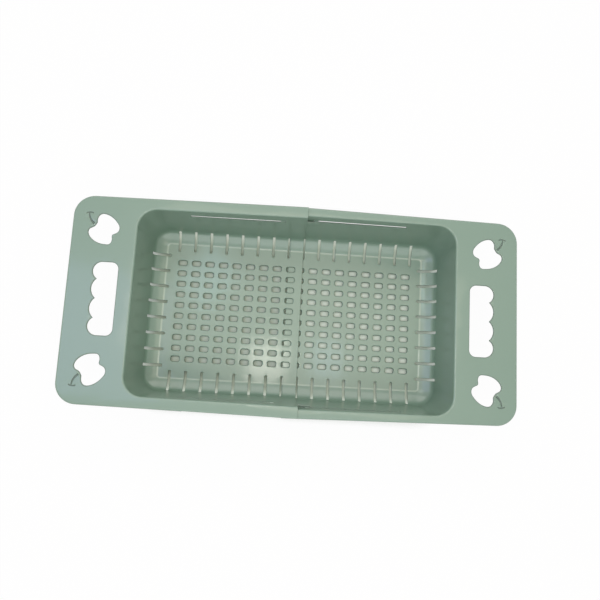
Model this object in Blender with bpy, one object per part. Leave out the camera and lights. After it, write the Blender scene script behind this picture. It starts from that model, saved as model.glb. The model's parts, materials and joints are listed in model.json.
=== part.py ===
"""An expandable dish drainer that bridges a sink.

Two moulded plastic trays telescope into each other. Each is a perforated basket, open at the
middle and closed at its handle end, with a rim all round that spreads into a handle plate.
The inner tray nests over the outer one, floor on floor and rim on rim. A tongue on each side
wall ends in a hook that runs in a long slot of the other tray, and stops it from pulling out.

X runs along the drainer, Y across it and Z up. The origin is on the ground, under the middle.
The outer tray lies at +X and the inner tray at -X, both pulled out to their stops.
"""

import math

import bmesh
import bpy
from mathutils import Vector

MM = 0.001
OUTER, INNER = 1, -1

# The drainer as a whole
LENGTH = 480 * MM
OVERLAP = 17 * MM
TRAVEL = 97 * MM
WALL = 1.6 * MM
SLIDE_GAP = 0.4 * MM

# The basket, measured inside the outer tray
DEPTH = 74 * MM
FLOOR_HALF = 78.5 * MM
FLOOR_CORNER = 3 * MM
CREASE_RADIUS = 8 * MM
CREASE_TURN = math.radians(12)
EASE_RADIUS = 49.5 * MM
EASE_TURN = math.radians(28)
BEND_RADIUS = 5 * MM
BEND_TURN = math.radians(84)
CREASE_STEPS = 1
EASE_STEPS = 3
BEND_STEPS = 2
SIDE_LEAN = 24.3 * MM
END_LEAN = 19.5 * MM
MOUTH_CORNER = 20 * MM
OUTER_FLARE = 1.0 * MM
INNER_FLARE = 1.8 * MM
CORNER_STEPS = 6

# The rim, which draws in towards the ends, and the handle plates
RIM_WIDTH = 10.6 * MM
RIM_TAPER = 3.7 * MM
PLATE = 68.5 * MM
RIM_CORNER = 22 * MM
RIM_ROUND = 2.2 * MM
RIM_ROUND_STEPS = 2
LIP = 5 * MM
LIP_RELIEF_MARGIN = 5 * MM

# The drain holes of a floor
HOLE_PITCH_X = 16.06 * MM
HOLE_PITCH_Y = 12.64 * MM
HOLE_LENGTH = 10.4 * MM
HOLE_WIDTH = 6.0 * MM
HOLE_CORNER = 1.7 * MM
HOLE_MARGIN = 18 * MM
OPEN_END_MARGIN = 8 * MM

# The slots that run from the floor up the rounded foot of the walls
SLOT_WIDTH = 3 * MM
SLOT_PITCH = 18.6 * MM
SIDE_SLOT_ON_FLOOR = 8 * MM
SIDE_SLOT_RISE = 6 * MM
SIDE_SLOT_MARGIN = 13.1 * MM
END_SLOT_ON_FLOOR = 3.7 * MM
END_SLOT_RISE = 10 * MM
END_SLOT_MARGIN = 12 * MM

# The travel slots in the side walls, and the tongues and hooks that run in them
TRACK_BELOW_RIM = 13.1 * MM
TRACK_HEIGHT = 4.6 * MM
TONGUE = 13.5 * MM
TONGUE_HEIGHT = 5.4 * MM
HOOK_LENGTH = 6 * MM
HOOK_HEIGHT = 3.4 * MM
HOOK_PROUD = 0.5 * MM
END_GAP = 0.4 * MM

# The grip, a finger hole with scallops along its outer side
GRIP_FROM_END = 39.2 * MM
GRIP_LENGTH = 77 * MM
GRIP_WIDTH = 25.9 * MM
GRIP_CORNER = 7 * MM
SCALLOP_DEPTH = 4.8 * MM
SCALLOP_END_RADIUS = 9.6 * MM
ARC_STEPS = 5
OUTLINE_STEPS = 2

# The apple-shaped cut-outs, with a stem and its cap engraved beside each
APPLE_FROM_END = 33.4 * MM
APPLE_FROM_SIDE = 35.7 * MM
APPLE = [(14, 0), (10.6, 1.9), (8.8, 4.2), (7.6, 6.8), (7.6, 9.6), (7, 12.4), (5.3, 14.9), (2.6, 16.1),
         (-1, 15.8), (-5.2, 14.2), (-9.4, 11.3), (-13, 7.5), (-15.3, 3.9), (-15.7, 0.3), (-14.4, -2.6),
         (-11.9, -4.3), (-9.3, -5.6), (-8.5, -7.8), (-8.9, -11), (-8.1, -14.4), (-6, -16.2), (-2.7, -16.4),
         (2.8, -15.8), (8, -13.9), (12.4, -10.7), (15.2, -7), (16, -3.9), (15.4, -1.5)]
STEM = [(9.7, 4.6), (13.4, 7.6), (15.4, 10.8), (16.2, 16.4)]
STEM_CAP = [(12.0, 16.9), (20.0, 16.3)]
GROOVE_WIDTH = 1.3 * MM
GROOVE_DEPTH = 0.6 * MM

# The feet, which reach the same ground from both floors
FOOT_HEIGHT = 3 * MM
FOOT_RADIUS = 4 * MM
FOOT_SIDES = 12
FOOT_FROM_SIDE = 13.1 * MM
FOOT_FROM_OPEN_END = 36.5 * MM
FOOT_FROM_END = 15 * MM

SAGE = (0.26, 0.35, 0.27, 1)
ROUGHNESS = 0.38
SHARP_ANGLE = math.radians(50)

# Places that follow from the sizes above
END_X = LENGTH / 2
OPEN_X = -OVERLAP / 2
TIP_X = OPEN_X - TONGUE
MOUTH_END = END_X - PLATE
FLOOR_END = MOUTH_END - END_LEAN
MOUTH_HALF = FLOOR_HALF + SIDE_LEAN
RIM_HALF_MIDDLE = MOUTH_HALF + RIM_WIDTH
RIM_HALF_END = RIM_HALF_MIDDLE - RIM_TAPER
GRIP_CENTRE = END_X - GRIP_FROM_END
APPLE_X = END_X - APPLE_FROM_END
APPLE_Y = RIM_HALF_END - APPLE_FROM_SIDE
FOOT_Y = FLOOR_HALF - FOOT_FROM_SIDE
FOOT_NEAR_X = OPEN_X + FOOT_FROM_OPEN_END
FOOT_FAR_X = FLOOR_END - FOOT_FROM_END
NEST_STEP = WALL + SLIDE_GAP
FLARE_RUN = FLOOR_END - TIP_X
TIP_INTO_OUTER = TRAVEL + OVERLAP + 2 * TONGUE
SIDE_STEP = NEST_STEP + OUTER_FLARE * TIP_INTO_OUTER / FLARE_RUN
FLOOR_TOP = {OUTER: FOOT_HEIGHT + WALL, INNER: FOOT_HEIGHT + WALL + NEST_STEP}
RIM_TOP = {side: FLOOR_TOP[side] + DEPTH for side in (OUTER, INNER)}
TRACK_Z = RIM_TOP[OUTER] - TRACK_BELOW_RIM
TRACK_START = -OPEN_X + TONGUE - HOOK_LENGTH - END_GAP
FOOT_ARCS = ((CREASE_RADIUS, CREASE_TURN, CREASE_STEPS), (EASE_RADIUS, EASE_TURN, EASE_STEPS),
             (BEND_RADIUS, BEND_TURN, BEND_STEPS))
FOOT_INSET = {OUTER: 0, INNER: NEST_STEP}
MOUTH_TIP_HALF = {OUTER: MOUTH_HALF, INNER: MOUTH_HALF - SIDE_STEP}
FLARE = {OUTER: OUTER_FLARE, INNER: INNER_FLARE}

# How far the cutters reach past what they cut, and what keeps two faces from lying in one plane
FAR = 10 * MM
SKIN = 0.1 * MM


def clear_scene():
    for obj in list(bpy.data.objects):
        bpy.data.objects.remove(obj)


def plastic(name):
    material = bpy.data.materials.new(name)
    material.use_nodes = True
    shader = material.node_tree.nodes["Principled BSDF"]
    shader.inputs["Base Color"].default_value = SAGE
    shader.inputs["Roughness"].default_value = ROUGHNESS
    return material


def arc(centre, radius, start, end, steps):
    """Points along an arc, its two ends among them. Angles are in degrees."""
    angles = [math.radians(start + (end - start) * i / steps) for i in range(steps + 1)]
    return [(centre[0] + radius * math.cos(a), centre[1] + radius * math.sin(a)) for a in angles]


def smooth(points, steps):
    """A Catmull-Rom curve through the points, its two ends among them."""
    padded = [points[0], *points, points[-1]]
    curve = []
    for i in range(len(points) - 1):
        p, q, r, s = (Vector(padded[i + k]) for k in range(4))
        for step in range(steps):
            t = step / steps
            curve.append(0.5 * (2 * q + t * (r - p) + t * t * (2 * p - 5 * q + 4 * r - s)
                                + t ** 3 * (3 * q - p - 3 * r + s)))
    return [tuple(v) for v in curve] + [tuple(points[-1])]


def plan_ring(end, tip_half, corner_half, radius):
    """The plan of a tray at one height: from the open end, round the handle end and back."""
    across = corner_half - radius
    start_half = tip_half + (tip_half - corner_half) * FAR / (end - radius - TIP_X)
    return ([(TIP_X - FAR, start_half)]
            + arc((end - radius, across), radius, 90, 0, CORNER_STEPS)
            + arc((end - radius, -across), radius, 0, -90, CORNER_STEPS)
            + [(TIP_X - FAR, -start_half)])


def foot_profile(side):
    """How far out and how high the foot of a wall goes: a crease, an easy curve and a tight bend."""
    points, start = [(0, 0)], 0
    for outer_radius, end, steps in FOOT_ARCS:
        radius = outer_radius - FOOT_INSET[side]
        out, rise = points[-1]
        for turn in (start + (end - start) * i / steps for i in range(1, steps + 1)):
            points.append((out + radius * (math.sin(turn) - math.sin(start)),
                           rise + radius * (math.cos(start) - math.cos(turn))))
        start = end
    return points


def rings_of(side):
    """The rings of a tray's upper face, each a plan and its height, from the lip to the floor."""
    rim, floor = RIM_TOP[side], FLOOR_TOP[side]
    mouth, flare = MOUTH_TIP_HALF[side], FLARE[side]
    turns = [math.pi / 2 * i / RIM_ROUND_STEPS for i in range(RIM_ROUND_STEPS + 1)]
    rings = [(plan_ring(END_X, RIM_HALF_MIDDLE, RIM_HALF_END, RIM_CORNER), rim - LIP)]
    for turn in turns:
        inset = RIM_ROUND * (1 - math.cos(turn))
        plan = plan_ring(END_X - inset, RIM_HALF_MIDDLE - inset, RIM_HALF_END - inset,
                         RIM_CORNER - inset)
        rings.append((plan, rim - RIM_ROUND * (1 - math.sin(turn))))
    for turn in turns:
        out = RIM_ROUND * (1 - math.sin(turn))
        plan = plan_ring(MOUTH_END + out, mouth + out, mouth - flare + out, MOUTH_CORNER + out)
        rings.append((plan, rim - RIM_ROUND * (1 - math.cos(turn))))
    for out, rise in foot_profile(side)[::-1]:
        plan = plan_ring(FLOOR_END + out, FLOOR_HALF + out, FLOOR_HALF + out, FLOOR_CORNER + out)
        rings.append((plan, floor + rise))
    return rings


def shell_mesh(side):
    """The upper face of a tray as one sheet, with the floor as its last face."""
    bm = bmesh.new()
    rings = [[bm.verts.new((side * x, y, z)) for x, y in plan] for plan, z in rings_of(side)]
    for upper, lower in zip(rings, rings[1:]):
        for i in range(len(upper) - 1):
            bm.faces.new((upper[i], upper[i + 1], lower[i + 1], lower[i]))
    bm.faces.new(rings[-1])
    bmesh.ops.recalc_face_normals(bm, faces=bm.faces)
    floor = max(bm.faces, key=lambda face: face.calc_area())
    if floor.normal.z < 0:
        bmesh.ops.reverse_faces(bm, faces=bm.faces)
    bmesh.ops.triangulate(bm, faces=[face for face in bm.faces if face is not floor])
    return bm


def prism(bm, outline, bottom, top):
    """A closed prism over an outline in plan."""
    base = bm.faces.new([bm.verts.new((x, y, bottom)) for x, y in outline])
    grown = bmesh.ops.extrude_face_region(bm, geom=[base])["geom"]
    moved = [v for v in grown if isinstance(v, bmesh.types.BMVert)]
    bmesh.ops.translate(bm, verts=moved, vec=(0, 0, top - bottom))


def side_prism(bm, profile, low, high):
    """A closed prism between two places across the drainer, over a profile seen from the side."""
    base = bm.faces.new([bm.verts.new((x, low, z)) for x, z in profile])
    grown = bmesh.ops.extrude_face_region(bm, geom=[base])["geom"]
    moved = [v for v in grown if isinstance(v, bmesh.types.BMVert)]
    bmesh.ops.translate(bm, verts=moved, vec=(0, high - low, 0))


def block(bm, low, high):
    """A closed block between two corners."""
    prism(bm, [(low[0], low[1]), (high[0], low[1]), (high[0], high[1]), (low[0], high[1])],
          low[2], high[2])


def made(name, bm, material=None):
    """The bmesh as an object, its faces pointing out."""
    mesh = bpy.data.meshes.new(name)
    bmesh.ops.recalc_face_normals(bm, faces=bm.faces)
    bm.to_mesh(mesh)
    bm.free()
    obj = bpy.data.objects.new(name, mesh)
    bpy.context.scene.collection.objects.link(obj)
    if material:
        mesh.materials.append(material)
    return obj


def helper(name, bm, side):
    """A tool for a Boolean, drawn for the outer tray and mirrored for the inner one."""
    bmesh.ops.scale(bm, vec=(side, 1, 1), verts=bm.verts)
    obj = made(name, bm)
    obj.hide_render = True
    obj.display_type = "WIRE"
    return obj


def boolean(tray, operation, tool):
    modifier = tray.modifiers.new(tool.name, "BOOLEAN")
    modifier.operation = operation
    modifier.solver = "EXACT"
    modifier.object = tool


def rounded_hole(x, y):
    """A drain hole's outline: a rectangle with its corners cut."""
    half_x, half_y = HOLE_LENGTH / 2, HOLE_WIDTH / 2
    cut_x, cut_y = half_x - HOLE_CORNER, half_y - HOLE_CORNER
    quarter = [(half_x, cut_y), (cut_x, half_y)]
    return ([(x + a, y + b) for a, b in quarter] + [(x - a, y + b) for a, b in quarter[::-1]]
            + [(x - a, y - b) for a, b in quarter] + [(x + a, y - b) for a, b in quarter[::-1]])


def places_along(margin, pitch):
    """Places from the handle end of the floor to its open end."""
    first = FLOOR_END - margin
    count = int((first - OPEN_X - OPEN_END_MARGIN) / pitch) + 1
    return [first - pitch * i for i in range(count)]


def places_across(margin, pitch):
    """Places across the floor, the same on both sides of its middle line."""
    count = int(2 * (FLOOR_HALF - margin) / pitch) + 1
    return [pitch * (i - (count - 1) / 2) for i in range(count)]


def drain_holes(side):
    bm = bmesh.new()
    floor = FLOOR_TOP[side]
    for x in places_along(HOLE_MARGIN, HOLE_PITCH_X):
        for y in places_across(HOLE_MARGIN, HOLE_PITCH_Y):
            prism(bm, rounded_hole(x, y), floor - FAR, floor + FAR)
    return bm


def foot_slots(side):
    """The slots round the foot of the walls: along both sides, and across the handle end."""
    bm = bmesh.new()
    floor = FLOOR_TOP[side]
    side_from, side_to = FLOOR_HALF - SIDE_SLOT_ON_FLOOR, RIM_HALF_MIDDLE
    for x in places_along(SIDE_SLOT_MARGIN, SLOT_PITCH):
        for low, high in ((side_from, side_to), (-side_to, -side_from)):
            block(bm, (x - SLOT_WIDTH / 2, low, floor - FAR),
                  (x + SLOT_WIDTH / 2, high, floor + SIDE_SLOT_RISE))
    for y in places_across(END_SLOT_MARGIN, SLOT_PITCH):
        block(bm, (FLOOR_END - END_SLOT_ON_FLOOR, y - SLOT_WIDTH / 2, floor - FAR),
              (MOUTH_END + FAR, y + SLOT_WIDTH / 2, floor + END_SLOT_RISE))
    return bm


def grip_outline():
    """The finger hole: a rounded rectangle whose outer side is a row of four scallops."""
    inner, outer = GRIP_CENTRE - GRIP_WIDTH / 2, GRIP_CENTRE + GRIP_WIDTH / 2
    half = GRIP_LENGTH / 2
    end = (outer - SCALLOP_END_RADIUS, half - SCALLOP_END_RADIUS)
    turn = math.degrees(math.acos(1 - SCALLOP_DEPTH / SCALLOP_END_RADIUS))
    cusp_y = end[1] - SCALLOP_END_RADIUS * math.sin(math.radians(turn))
    radius = ((cusp_y / 2) ** 2 + SCALLOP_DEPTH ** 2) / (2 * SCALLOP_DEPTH)
    middle = (outer - radius, cusp_y / 2)
    spread = math.degrees(math.asin(cusp_y / 2 / radius))
    upper = (arc(middle, radius, -spread, spread, ARC_STEPS)[:-1]
             + arc(end, SCALLOP_END_RADIUS, -turn, 90, 2 * ARC_STEPS)
             + arc((inner + GRIP_CORNER, half - GRIP_CORNER), GRIP_CORNER, 90, 180, ARC_STEPS))
    return upper + [(x, -y) for x, y in upper[:0:-1]]


def apple_outline(sign):
    """The cut-out on the +Y side for sign 1, or its mirror image for -1."""
    return [(APPLE_X + a * MM, sign * (APPLE_Y + b * MM)) for a, b in APPLE]


def groove_outline(sign):
    """The engraved stem and its cap, as one T-shaped outline."""
    stem = [Vector(p) * MM for p in smooth(STEM, OUTLINE_STEPS)]
    left, right = [], []
    for i, point in enumerate(stem):
        along = (stem[min(i + 1, len(stem) - 1)] - stem[max(i - 1, 0)]).normalized()
        aside = Vector((-along.y, along.x)) * GROOVE_WIDTH / 2
        left.append(point + aside)
        right.append(point - aside)
    first, last = (Vector(p) * MM for p in STEM_CAP)
    along = (last - first).normalized()
    up = Vector((-along.y, along.x)) * GROOVE_WIDTH / 2
    cap = [last - up, last + up, first + up, first - up]
    points = left[::-1] + right + cap
    return [(APPLE_X + p.x, sign * (APPLE_Y + p.y)) for p in points]


def plate_cuts(side):
    """What goes through the handle plate: the finger hole and the two apples."""
    bm = bmesh.new()
    rim = RIM_TOP[side]
    for outline in (grip_outline(), apple_outline(1), apple_outline(-1)):
        prism(bm, outline, rim - FAR, rim + FAR)
    return bm


def grooves(side):
    bm = bmesh.new()
    for sign in (1, -1):
        prism(bm, groove_outline(sign), RIM_TOP[side] - GROOVE_DEPTH, RIM_TOP[side] + FAR)
    return bm


def tracks():
    """The travel slots, one in each side wall."""
    bm = bmesh.new()
    stop = TRACK_START + HOOK_LENGTH + TRAVEL + 2 * END_GAP
    for low, high in ((FLOOR_HALF, RIM_HALF_MIDDLE + FAR), (-RIM_HALF_MIDDLE - FAR, -FLOOR_HALF)):
        block(bm, (TRACK_START, low, TRACK_Z - TRACK_HEIGHT / 2),
              (stop, high, TRACK_Z + TRACK_HEIGHT / 2))
    return bm


def open_end():
    """What is trimmed square from the open end, above and below the two tongues."""
    low, high = TRACK_Z - TONGUE_HEIGHT / 2, TRACK_Z + TONGUE_HEIGHT / 2
    back, top, wide = TIP_X - 2 * FAR, RIM_TOP[INNER] + FAR, RIM_HALF_MIDDLE + FAR
    bm = bmesh.new()
    side_prism(bm, [(back, -FAR), (OPEN_X, -FAR), (OPEN_X, low), (TIP_X, low), (TIP_X, high),
                    (OPEN_X, high), (OPEN_X, top), (back, top)], -wide, wide)
    return bm


def lip_relief():
    """Where the inner tray's lip is left off, so that its rim slides over the outer rim."""
    bm = bmesh.new()
    rim = RIM_TOP[INNER]
    reach = -OPEN_X + TRAVEL + LIP_RELIEF_MARGIN
    inside = MOUTH_TIP_HALF[OUTER] + WALL
    for low, high in ((inside, RIM_HALF_MIDDLE + FAR), (-RIM_HALF_MIDDLE - FAR, -inside)):
        block(bm, (OPEN_X - FAR, low, rim - LIP - FAR), (reach, high, rim - WALL - SKIN))
    return bm


def wall_half(side, x, z):
    """The half width between a tray's side walls at a place along it and a height."""
    run = (x - TIP_X) / FLARE_RUN
    out, rise = foot_profile(side)[-1]
    top, low = MOUTH_TIP_HALF[side] - FLARE[side] * run, FLOOR_HALF + out
    share = (z - FLOOR_TOP[side] - rise) / (DEPTH - RIM_ROUND - rise)
    return low + (top - low) * share


def hooks(side):
    """A block on each tongue's tip that reaches through the travel slot of the other tray."""
    bm = bmesh.new()
    other_face = wall_half(-side, -TIP_X, TRACK_Z)
    near = wall_half(side, TIP_X, TRACK_Z) + WALL / 2
    far = other_face + WALL + HOOK_PROUD if side == INNER else other_face - HOOK_PROUD
    for sign in (1, -1):
        low, high = sorted((sign * near, sign * far))
        block(bm, (TIP_X + SKIN, low, TRACK_Z - HOOK_HEIGHT / 2),
              (TIP_X + HOOK_LENGTH, high, TRACK_Z + HOOK_HEIGHT / 2))
    return bm


def feet(side):
    """Round studs under the floor. The inner tray has none where it slides over the outer."""
    bm = bmesh.new()
    top = FLOOR_TOP[side] - WALL / 2
    for x in (FOOT_NEAR_X, FOOT_FAR_X) if side == OUTER else (FOOT_FAR_X,):
        for y in (FOOT_Y, -FOOT_Y):
            ring = arc((x, y), FOOT_RADIUS, 0, 360, FOOT_SIDES)[:-1]
            prism(bm, ring, 0, top)
    return bm


def tray(name, side):
    obj = made(name, shell_mesh(side), plastic(name + "_plastic"))
    obj.data.shade_smooth()
    obj.data.set_sharp_from_angle(angle=SHARP_ANGLE)
    wall = obj.modifiers.new("wall", "SOLIDIFY")
    wall.thickness = WALL
    wall.offset = -1
    wall.use_even_offset = True
    cuts = {"open_end": open_end(), "drain_holes": drain_holes(side), "foot_slots": foot_slots(side),
            "plate_cuts": plate_cuts(side), "grooves": grooves(side), "tracks": tracks()}
    if side == INNER:
        cuts["lip_relief"] = lip_relief()
    for label, bm in cuts.items():
        boolean(obj, "DIFFERENCE", helper(f"{name}_{label}", bm, side))
    for label, bm in (("feet", feet(side)), ("hooks", hooks(side))):
        boolean(obj, "UNION", helper(f"{name}_{label}", bm, side))
    return obj


clear_scene()
tray("outer_tray", OUTER)
tray("inner_tray", INNER)
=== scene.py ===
# %% [markdown]
# # An expandable dish drainer, dressed around its CAD model
#
# The object is two moulded plastic trays that telescope into each other over a sink. The packed
# CAD model gives the frame: how big each tray is and which body it moves with. This script
# models the trays again with fine, rounded edges, gives them the look of satin plastic, and
# sets up the camera, the floor and the light.

# %% Load the frame
import json
import math

import bmesh
import bpy
from mathutils import Matrix, Vector


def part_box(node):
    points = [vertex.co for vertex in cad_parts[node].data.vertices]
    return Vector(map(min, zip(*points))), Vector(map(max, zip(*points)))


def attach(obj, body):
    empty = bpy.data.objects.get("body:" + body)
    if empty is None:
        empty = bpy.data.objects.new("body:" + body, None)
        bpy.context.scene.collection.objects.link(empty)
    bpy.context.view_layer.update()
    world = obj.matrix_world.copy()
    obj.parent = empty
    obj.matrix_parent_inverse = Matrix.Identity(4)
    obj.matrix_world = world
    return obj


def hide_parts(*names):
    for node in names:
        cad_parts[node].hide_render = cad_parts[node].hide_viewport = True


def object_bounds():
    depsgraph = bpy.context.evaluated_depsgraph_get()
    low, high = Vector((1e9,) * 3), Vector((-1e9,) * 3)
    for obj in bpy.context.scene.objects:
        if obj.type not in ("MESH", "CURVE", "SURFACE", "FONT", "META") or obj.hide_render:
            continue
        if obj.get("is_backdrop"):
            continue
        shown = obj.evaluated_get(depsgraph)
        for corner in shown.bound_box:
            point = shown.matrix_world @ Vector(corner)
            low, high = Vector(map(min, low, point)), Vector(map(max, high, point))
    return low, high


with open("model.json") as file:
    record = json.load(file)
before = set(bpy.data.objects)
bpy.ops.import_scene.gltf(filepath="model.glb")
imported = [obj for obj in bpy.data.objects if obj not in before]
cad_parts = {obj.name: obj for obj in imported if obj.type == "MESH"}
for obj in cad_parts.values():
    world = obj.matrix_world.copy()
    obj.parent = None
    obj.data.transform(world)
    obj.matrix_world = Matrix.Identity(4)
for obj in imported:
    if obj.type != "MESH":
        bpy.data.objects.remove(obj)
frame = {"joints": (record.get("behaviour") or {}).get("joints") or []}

MM = 0.001
# Heights or places that differ by less than this count as the same.
SAME_HEIGHT, SAME_PLACE = 0.001 * MM, 0.01 * MM
cad_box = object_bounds()

# %% [markdown]
# ## Where the trays are
#
# The two trays are one design. The inner one is turned end for end and lies 2 mm higher, so
# that its floor and its rim slide over those of the outer one. Both are drawn at +X, and the
# inner one is mirrored at the end. The frame gives the places of their ends and rims, and the
# sizes below are those of the moulded part.
#
# The mouth and the rim taper a little towards the handle plate. The inner mouth is narrower by
# the step between the trays, and by as much as the outer one has tapered at the place where
# the inner tray's tip stops when the two are pushed together.

# %% Places from the frame, and the sizes of a tray
OUTER, INNER = 1, -1
NODE = {OUTER: "outer_tray", INNER: "inner_tray"}
END_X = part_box("outer_tray")[1].x
TIP_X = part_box("outer_tray")[0].x
RIM_TOP = {side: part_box(NODE[side])[1].z for side in (OUTER, INNER)}
TRAVEL = frame["joints"][0]["range_m"][1]

WALL = 1.6 * MM
SLIDE_GAP = 0.4 * MM
NEST_STEP = WALL + SLIDE_GAP
OPEN_X = -8.5 * MM
DEPTH = 74 * MM
FLOOR_HALF, FLOOR_CORNER = 78.5 * MM, 3 * MM
SIDE_LEAN, END_LEAN = 24.3 * MM, 19.5 * MM
MOUTH_CORNER = 20 * MM
PLATE = 68.5 * MM
RIM_WIDTH, RIM_TAPER = 10.6 * MM, 3.7 * MM
RIM_CORNER, RIM_ROUND, LIP = 22 * MM, 2.2 * MM, 5 * MM

FLOOR_TOP = {side: RIM_TOP[side] - DEPTH for side in (OUTER, INNER)}
MOUTH_END = END_X - PLATE
FLOOR_END = MOUTH_END - END_LEAN
RIM_HALF_MIDDLE = FLOOR_HALF + SIDE_LEAN + RIM_WIDTH
RIM_HALF_END = RIM_HALF_MIDDLE - RIM_TAPER
TAPER = {OUTER: 1.0 * MM, INNER: 1.8 * MM}
SIDE_STEP = NEST_STEP + TAPER[OUTER] * (TRAVEL - 2 * TIP_X) / (FLOOR_END - TIP_X)
MOUTH_HALF = {OUTER: FLOOR_HALF + SIDE_LEAN, INNER: FLOOR_HALF + SIDE_LEAN - SIDE_STEP}
print(f"rims at {RIM_TOP[OUTER] / MM:.1f} and {RIM_TOP[INNER] / MM:.1f} mm,",
      f"floors at {FLOOR_TOP[OUTER] / MM:.1f} and {FLOOR_TOP[INNER] / MM:.1f} mm")

# %% [markdown]
# ## The pattern of holes and slots
#
# The floor has a grid of rounded drain holes. Slots start on the floor's edge and run up the
# rounded foot of the walls. Each pattern is a pitch and a margin, so a function gives the
# places, and only those at y > 0 are needed because a tray is drawn as one half and mirrored.
# The track is the long travel slot under the rim, in which the other tray's hook runs.

# %% Holes, slots and where they lie
HOLE_PITCH_X, HOLE_PITCH_Y, HOLE_MARGIN = 16.06 * MM, 12.64 * MM, 18 * MM
HOLE_LENGTH, HOLE_WIDTH, HOLE_ROUND, HOLE_DRAFT = 10.8 * MM, 6.8 * MM, 2.4 * MM, 0.7 * MM
OPEN_END_MARGIN = 8 * MM
SLOT_WIDTH, SLOT_PITCH, SLOT_CHAMFER = 3 * MM, 18.6 * MM, 0.6 * MM
SLOT_SIDES = (-SLOT_WIDTH / 2, SLOT_WIDTH / 2)
SIDE_SLOT_ON_FLOOR, SIDE_SLOT_RISE, SIDE_SLOT_MARGIN = 8 * MM, 6.7 * MM, 13.1 * MM
END_SLOT_ON_FLOOR, END_SLOT_RISE, END_SLOT_MARGIN = 3.7 * MM, 11.4 * MM, 12 * MM

TONGUE_HEIGHT = 5.4 * MM
HOOK_LENGTH, HOOK_HEIGHT, HOOK_PROUD, END_GAP = 6 * MM, 3.4 * MM, 0.5 * MM, 0.4 * MM
HOOK_SETBACK = 1.2 * MM
TRACK_HEIGHT, TRACK_CHAMFER = 4.6 * MM, 0.6 * MM
TRACK_Z = RIM_TOP[OUTER] - 13.1 * MM
TRACK_LOW, TRACK_HIGH = TRACK_Z - TRACK_HEIGHT / 2, TRACK_Z + TRACK_HEIGHT / 2
TRACK_START = -TIP_X - HOOK_LENGTH - END_GAP
TRACK_STOP = -TIP_X + TRAVEL + END_GAP


def places_along(margin, pitch):
    """Places from the handle end of the floor to its open end."""
    first = FLOOR_END - margin
    count = int((first - OPEN_X - OPEN_END_MARGIN) / pitch) + 1
    return [first - pitch * i for i in range(count)]


def places_across(margin, pitch):
    """Places across the floor from its middle line to the +Y side."""
    count = int(2 * (FLOOR_HALF - margin) / pitch) + 1
    return [pitch * (i + 0.5) for i in range(count // 2)]


SIDE_SLOTS = places_along(SIDE_SLOT_MARGIN, SLOT_PITCH)
END_SLOTS = places_across(END_SLOT_MARGIN, SLOT_PITCH)
HOLES = [(x, y) for x in places_along(HOLE_MARGIN, HOLE_PITCH_X)
         for y in places_across(HOLE_MARGIN, HOLE_PITCH_Y)]
print(len(SIDE_SLOTS), "slots on a side,", 2 * len(END_SLOTS), "across the end,",
      2 * len(HOLES), "drain holes,", f"travel slots of {(TRACK_STOP - TRACK_START) / MM:.1f} mm")

# %% [markdown]
# ## A wall is rows and columns
#
# The basket's wall is one smooth sheet that goes round the floor's edge. A row is the plan of
# the basket at one height, and a column is one place along that plan: on the straight side, in
# the rounded corner or on the end. Columns and rows are put exactly where slots begin and end,
# so that a slot is made by leaving faces out. This gives cleaner edges than a Boolean would on
# a curved foot.
#
# The foot is three arcs in a row: a small one at the crease, a wide one and the bend into the
# wall. Each is a radius on the outer tray and the turn at which it ends. On the inner tray the
# arcs are tighter by the step between the trays, so that the two feet stay parallel.

# %% The rows
CREASE_TURN, EASE_TURN, BEND_TURN = (math.radians(a) for a in (12, 28, 84))
FOOT_ARCS = ((8 * MM, CREASE_TURN), (43.5 * MM, EASE_TURN), (8 * MM, BEND_TURN))
FOOT_TURNS = [math.radians(a) for a in (0, 3, 6, 9, 12, 16, 20, 24, 28, 37, 47)]
MOUTH_TURNS = [math.radians(a) for a in (90, 67.5, 45, 22.5, 0)]


def foot_point(side, turn):
    """How far out and up the foot has come once it has turned this far towards the vertical."""
    out = rise = start = 0
    for outer_radius, end in FOOT_ARCS:
        radius = outer_radius - (NEST_STEP if side == INNER else 0)
        reached = max(start, min(turn, end))
        out += radius * (math.sin(reached) - math.sin(start))
        rise += radius * (math.cos(start) - math.cos(reached))
        start = end
    return out, rise


def turn_at_rise(side, rise):
    """The turn at which the last bend of the foot reaches a height over the floor."""
    radius = FOOT_ARCS[-1][0] - (NEST_STEP if side == INNER else 0)
    return math.acos(math.cos(EASE_TURN) - (rise - foot_point(side, EASE_TURN)[1]) / radius)


def rounded_edge(side, turn):
    """How far the rim's rounded edge stands back from its upright face, and at what height."""
    return RIM_ROUND * (1 - math.sin(turn)), RIM_TOP[side] - RIM_ROUND * (1 - math.cos(turn))


def foot_row(side, turn):
    """A row is its end, its half widths at the tip and at the corner, its corner and its height."""
    out, rise = foot_point(side, turn)
    return (FLOOR_END + out, FLOOR_HALF + out, FLOOR_HALF + out, FLOOR_CORNER + out,
            FLOOR_TOP[side] + rise)


def mouth_row(side, out, z):
    half = MOUTH_HALF[side] + out
    return (MOUTH_END + out, half, half - TAPER[side], MOUTH_CORNER + out, z)


def wall_row(side, z):
    """The row at a height on the straight part of the wall."""
    low = foot_row(side, BEND_TURN)
    high = mouth_row(side, 0, RIM_TOP[side] - RIM_ROUND)
    share = (z - low[-1]) / (high[-1] - low[-1])
    return tuple(a + (b - a) * share for a, b in zip(low, high))


def basket_rows(side):
    side_slot_top = turn_at_rise(side, SIDE_SLOT_RISE)
    turns = FOOT_TURNS + [side_slot_top, (side_slot_top + BEND_TURN) / 2, BEND_TURN]
    heights = (FLOOR_TOP[side] + END_SLOT_RISE, TRACK_LOW, TRACK_HIGH)
    return ([foot_row(side, turn) for turn in turns] + [wall_row(side, z) for z in heights]
            + [mouth_row(side, *rounded_edge(side, turn)) for turn in MOUTH_TURNS])


print(len(basket_rows(OUTER)), "rows from the floor's edge to the rim")

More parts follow.
